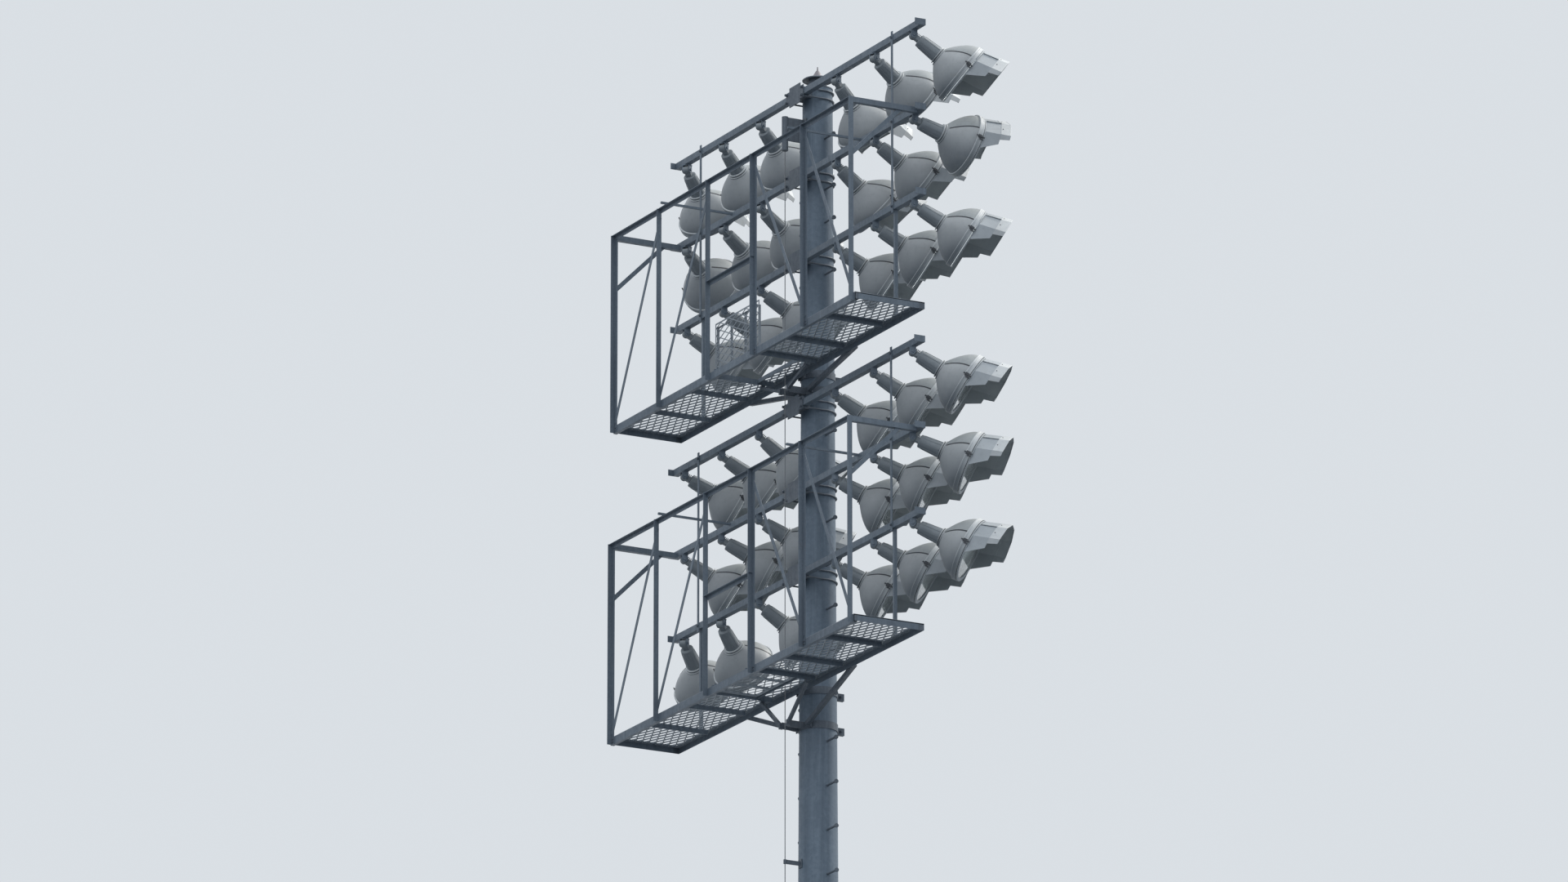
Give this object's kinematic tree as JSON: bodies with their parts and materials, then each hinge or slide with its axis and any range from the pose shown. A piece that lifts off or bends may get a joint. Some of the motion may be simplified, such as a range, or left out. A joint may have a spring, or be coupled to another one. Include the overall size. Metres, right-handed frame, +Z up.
{
  "type": "stadium floodlight pylon",
  "caption": "Tall tapered steel pylon with tiers of tilting round hooded floodlights on crossarms, railed mesh service platforms with hinged hatches, step pegs and a fall arrest cable.",
  "frame": {"origin": "on the pole's axis, at the underside of the base plate", "axes": "+Z up the pole, X along the crossarms, -Y towards the field that the floodlights light, +Y on the side of the service platforms"},
  "size_m": [5.9387, 1.7141, 30.238],
  "materials": {
    "pole_steel": "weathered galvanised steel",
    "frame_steel": "weathered galvanised steel",
    "dark_steel": "dark weathered galvanised steel",
    "mesh_steel": "galvanised expanded metal",
    "cable_steel": "stranded steel",
    "lamp_aluminium": "dull aluminium"
  },
  "bodies": {
    "mast": {"pole": "pole_steel", "base_plate": "pole_steel", "base_door": "pole_steel", "pole_cap": "dark_steel", "step_pegs": "dark_steel", "lifeline_brackets": "dark_steel", "lifeline_cable": "cable_steel", "crossarms_upper": "frame_steel", "pole_clamps_upper": "dark_steel", "hangers_upper": "frame_steel", "platform_frame_upper": "frame_steel", "platform_floor_upper": "mesh_steel", "guard_rail_upper": "frame_steel", "support_brackets_upper": "dark_steel", "crossarms_lower": "frame_steel", "pole_clamps_lower": "dark_steel", "hangers_lower": "frame_steel", "platform_frame_lower": "frame_steel", "platform_floor_lower": "mesh_steel", "guard_rail_lower": "frame_steel", "support_brackets_lower": "dark_steel"},
    "floodlight_upper_11": {"floodlight_upper_11": "lamp_aluminium"},
    "floodlight_upper_12": {"floodlight_upper_12": "lamp_aluminium"},
    "floodlight_upper_13": {"floodlight_upper_13": "lamp_aluminium"},
    "floodlight_upper_14": {"floodlight_upper_14": "lamp_aluminium"},
    "floodlight_upper_15": {"floodlight_upper_15": "lamp_aluminium"},
    "floodlight_upper_16": {"floodlight_upper_16": "lamp_aluminium"},
    "floodlight_upper_21": {"floodlight_upper_21": "lamp_aluminium"},
    "floodlight_upper_22": {"floodlight_upper_22": "lamp_aluminium"},
    "floodlight_upper_23": {"floodlight_upper_23": "lamp_aluminium"},
    "floodlight_upper_24": {"floodlight_upper_24": "lamp_aluminium"},
    "floodlight_upper_25": {"floodlight_upper_25": "lamp_aluminium"},
    "floodlight_upper_26": {"floodlight_upper_26": "lamp_aluminium"},
    "floodlight_upper_31": {"floodlight_upper_31": "lamp_aluminium"},
    "floodlight_upper_32": {"floodlight_upper_32": "lamp_aluminium"},
    "floodlight_upper_33": {"floodlight_upper_33": "lamp_aluminium"},
    "floodlight_upper_34": {"floodlight_upper_34": "lamp_aluminium"},
    "floodlight_upper_35": {"floodlight_upper_35": "lamp_aluminium"},
    "floodlight_upper_36": {"floodlight_upper_36": "lamp_aluminium"},
    "floodlight_lower_11": {"floodlight_lower_11": "lamp_aluminium"},
    "floodlight_lower_12": {"floodlight_lower_12": "lamp_aluminium"},
    "floodlight_lower_13": {"floodlight_lower_13": "lamp_aluminium"},
    "floodlight_lower_14": {"floodlight_lower_14": "lamp_aluminium"},
    "floodlight_lower_15": {"floodlight_lower_15": "lamp_aluminium"},
    "floodlight_lower_16": {"floodlight_lower_16": "lamp_aluminium"},
    "floodlight_lower_21": {"floodlight_lower_21": "lamp_aluminium"},
    "floodlight_lower_22": {"floodlight_lower_22": "lamp_aluminium"},
    "floodlight_lower_23": {"floodlight_lower_23": "lamp_aluminium"},
    "floodlight_lower_24": {"floodlight_lower_24": "lamp_aluminium"},
    "floodlight_lower_25": {"floodlight_lower_25": "lamp_aluminium"},
    "floodlight_lower_26": {"floodlight_lower_26": "lamp_aluminium"},
    "floodlight_lower_31": {"floodlight_lower_31": "lamp_aluminium"},
    "floodlight_lower_32": {"floodlight_lower_32": "lamp_aluminium"},
    "floodlight_lower_33": {"floodlight_lower_33": "lamp_aluminium"},
    "floodlight_lower_34": {"floodlight_lower_34": "lamp_aluminium"},
    "floodlight_lower_35": {"floodlight_lower_35": "lamp_aluminium"},
    "floodlight_lower_36": {"floodlight_lower_36": "lamp_aluminium"},
    "hatch_lid_upper": {"hatch_lid_upper": "mesh_steel"},
    "hatch_lid_lower": {"hatch_lid_lower": "mesh_steel"}
  },
  "joints": [
    {"name": "floodlight_upper_11_tilt", "type": "hinge", "parent": "mast", "child": "floodlight_upper_11", "pos_m": [2.25, 0.20483, 29.84], "axis": [0.8192, 0.5736, 0], "range_deg": [-10, 10]},
    {"name": "floodlight_upper_12_tilt", "type": "hinge", "parent": "mast", "child": "floodlight_upper_12", "pos_m": [1.5, 0.20483, 29.84], "axis": [0.866, 0.5, 0], "range_deg": [-10, 10]},
    {"name": "floodlight_upper_13_tilt", "type": "hinge", "parent": "mast", "child": "floodlight_upper_13", "pos_m": [0.75, 0.20483, 29.84], "axis": [0.8829, 0.4695, 0], "range_deg": [-10, 10]},
    {"name": "floodlight_upper_14_tilt", "type": "hinge", "parent": "mast", "child": "floodlight_upper_14", "pos_m": [-0.75, 0.20483, 29.84], "axis": [0.9397, 0.342, 0], "range_deg": [-10, 10]},
    {"name": "floodlight_upper_15_tilt", "type": "hinge", "parent": "mast", "child": "floodlight_upper_15", "pos_m": [-1.5, 0.20483, 29.84], "axis": [0.9659, 0.2588, 0], "range_deg": [-10, 10]},
    {"name": "floodlight_upper_16_tilt", "type": "hinge", "parent": "mast", "child": "floodlight_upper_16", "pos_m": [-2.25, 0.20483, 29.84], "axis": [0.9659, -0.2588, 0], "range_deg": [-10, 10]},
    {"name": "floodlight_upper_21_tilt", "type": "hinge", "parent": "mast", "child": "floodlight_upper_21", "pos_m": [2.25, 0.20483, 29.025], "axis": [0.8192, 0.5736, 0], "range_deg": [-10, 10]},
    {"name": "floodlight_upper_22_tilt", "type": "hinge", "parent": "mast", "child": "floodlight_upper_22", "pos_m": [1.5, 0.20483, 29.025], "axis": [0.9397, 0.342, 0], "range_deg": [-10, 10]},
    {"name": "floodlight_upper_23_tilt", "type": "hinge", "parent": "mast", "child": "floodlight_upper_23", "pos_m": [0.75, 0.20483, 29.025], "axis": [0.9511, 0.309, 0], "range_deg": [-10, 10]},
    {"name": "floodlight_upper_24_tilt", "type": "hinge", "parent": "mast", "child": "floodlight_upper_24", "pos_m": [-0.75, 0.20483, 29.025], "axis": [0.9986, -0.0523, 0], "range_deg": [-10, 10]},
    {"name": "floodlight_upper_25_tilt", "type": "hinge", "parent": "mast", "child": "floodlight_upper_25", "pos_m": [-1.5, 0.20483, 29.025], "axis": [0.9962, -0.0872, 0], "range_deg": [-10, 10]},
    {"name": "floodlight_upper_26_tilt", "type": "hinge", "parent": "mast", "child": "floodlight_upper_26", "pos_m": [-2.25, 0.20483, 29.025], "axis": [0.9986, -0.0523, 0], "range_deg": [-10, 10]},
    {"name": "floodlight_upper_31_tilt", "type": "hinge", "parent": "mast", "child": "floodlight_upper_31", "pos_m": [2.25, 0.20483, 28.21], "axis": [0.9781, -0.2079, 0], "range_deg": [-10, 10]},
    {"name": "floodlight_upper_32_tilt", "type": "hinge", "parent": "mast", "child": "floodlight_upper_32", "pos_m": [1.5, 0.20483, 28.21], "axis": [0.9781, -0.2079, 0], "range_deg": [-10, 10]},
    {"name": "floodlight_upper_33_tilt", "type": "hinge", "parent": "mast", "child": "floodlight_upper_33", "pos_m": [0.75, 0.20483, 28.21], "axis": [0.9703, -0.2419, 0], "range_deg": [-10, 10]},
    {"name": "floodlight_upper_34_tilt", "type": "hinge", "parent": "mast", "child": "floodlight_upper_34", "pos_m": [-0.75, 0.20483, 28.21], "axis": [0.9659, -0.2588, 0], "range_deg": [-10, 10]},
    {"name": "floodlight_upper_35_tilt", "type": "hinge", "parent": "mast", "child": "floodlight_upper_35", "pos_m": [-1.5, 0.20483, 28.21], "axis": [0.9613, -0.2756, 0], "range_deg": [-10, 10]},
    {"name": "floodlight_upper_36_tilt", "type": "hinge", "parent": "mast", "child": "floodlight_upper_36", "pos_m": [-2.25, 0.20483, 28.21], "axis": [0.9511, -0.309, 0], "range_deg": [-10, 10]},
    {"name": "floodlight_lower_11_tilt", "type": "hinge", "parent": "mast", "child": "floodlight_lower_11", "pos_m": [2.25, 0.22231, 26.8], "axis": [0.9659, -0.2588, 0], "range_deg": [-10, 10]},
    {"name": "floodlight_lower_12_tilt", "type": "hinge", "parent": "mast", "child": "floodlight_lower_12", "pos_m": [1.5, 0.22231, 26.8], "axis": [0.9613, -0.2756, 0], "range_deg": [-10, 10]},
    {"name": "floodlight_lower_13_tilt", "type": "hinge", "parent": "mast", "child": "floodlight_lower_13", "pos_m": [0.75, 0.22231, 26.8], "axis": [0.9511, -0.309, 0], "range_deg": [-10, 10]},
    {"name": "floodlight_lower_14_tilt", "type": "hinge", "parent": "mast", "child": "floodlight_lower_14", "pos_m": [-0.75, 0.22231, 26.8], "axis": [0.9397, -0.342, 0], "range_deg": [-10, 10]},
    {"name": "floodlight_lower_15_tilt", "type": "hinge", "parent": "mast", "child": "floodlight_lower_15", "pos_m": [-1.5, 0.22231, 26.8], "axis": [0.9272, -0.3746, 0], "range_deg": [-10, 10]},
    {"name": "floodlight_lower_16_tilt", "type": "hinge", "parent": "mast", "child": "floodlight_lower_16", "pos_m": [-2.25, 0.22231, 26.8], "axis": [0.9063, -0.4226, 0], "range_deg": [-10, 10]},
    {"name": "floodlight_lower_21_tilt", "type": "hinge", "parent": "mast", "child": "floodlight_lower_21", "pos_m": [2.25, 0.22231, 25.985], "axis": [0.9397, -0.342, 0], "range_deg": [-10, 10]},
    {"name": "floodlight_lower_22_tilt", "type": "hinge", "parent": "mast", "child": "floodlight_lower_22", "pos_m": [1.5, 0.22231, 25.985], "axis": [0.9135, -0.4067, 0], "range_deg": [-10, 10]},
    {"name": "floodlight_lower_23_tilt", "type": "hinge", "parent": "mast", "child": "floodlight_lower_23", "pos_m": [0.75, 0.22231, 25.985], "axis": [0.9397, -0.342, 0], "range_deg": [-10, 10]},
    {"name": "floodlight_lower_24_tilt", "type": "hinge", "parent": "mast", "child": "floodlight_lower_24", "pos_m": [-0.75, 0.22231, 25.985], "axis": [0.8829, -0.4695, 0], "range_deg": [-10, 10]},
    {"name": "floodlight_lower_25_tilt", "type": "hinge", "parent": "mast", "child": "floodlight_lower_25", "pos_m": [-1.5, 0.22231, 25.985], "axis": [0.8746, -0.4848, 0], "range_deg": [-10, 10]},
    {"name": "floodlight_lower_26_tilt", "type": "hinge", "parent": "mast", "child": "floodlight_lower_26", "pos_m": [-2.25, 0.22231, 25.985], "axis": [0.866, -0.5, 0], "range_deg": [-10, 10]},
    {"name": "floodlight_lower_31_tilt", "type": "hinge", "parent": "mast", "child": "floodlight_lower_31", "pos_m": [2.25, 0.22231, 25.17], "axis": [0.788, 0.6157, 0], "range_deg": [-10, 10]},
    {"name": "floodlight_lower_32_tilt", "type": "hinge", "parent": "mast", "child": "floodlight_lower_32", "pos_m": [1.5, 0.22231, 25.17], "axis": [0.8192, 0.5736, 0], "range_deg": [-10, 10]},
    {"name": "floodlight_lower_33_tilt", "type": "hinge", "parent": "mast", "child": "floodlight_lower_33", "pos_m": [0.75, 0.22231, 25.17], "axis": [0.9397, -0.342, 0], "range_deg": [-10, 10]},
    {"name": "floodlight_lower_34_tilt", "type": "hinge", "parent": "mast", "child": "floodlight_lower_34", "pos_m": [-0.75, 0.22231, 25.17], "axis": [0.8829, -0.4695, 0], "range_deg": [-10, 10]},
    {"name": "floodlight_lower_35_tilt", "type": "hinge", "parent": "mast", "child": "floodlight_lower_35", "pos_m": [-1.5, 0.22231, 25.17], "axis": [0.8572, -0.515, 0], "range_deg": [-10, 10]},
    {"name": "floodlight_lower_36_tilt", "type": "hinge", "parent": "mast", "child": "floodlight_lower_36", "pos_m": [-2.25, 0.22231, 25.17], "axis": [0.829, -0.5592, 0], "range_deg": [-10, 10]},
    {"name": "hatch_lid_upper_hinge", "type": "hinge", "parent": "mast", "child": "hatch_lid_upper", "pos_m": [0, 0.85287, 27.2483], "axis": [1, 0, 0], "range_deg": [0, 90]},
    {"name": "hatch_lid_lower_hinge", "type": "hinge", "parent": "mast", "child": "hatch_lid_lower", "pos_m": [0, 0.87035, 24.2083], "axis": [1, 0, 0], "range_deg": [-90, 0]}
  ]
}
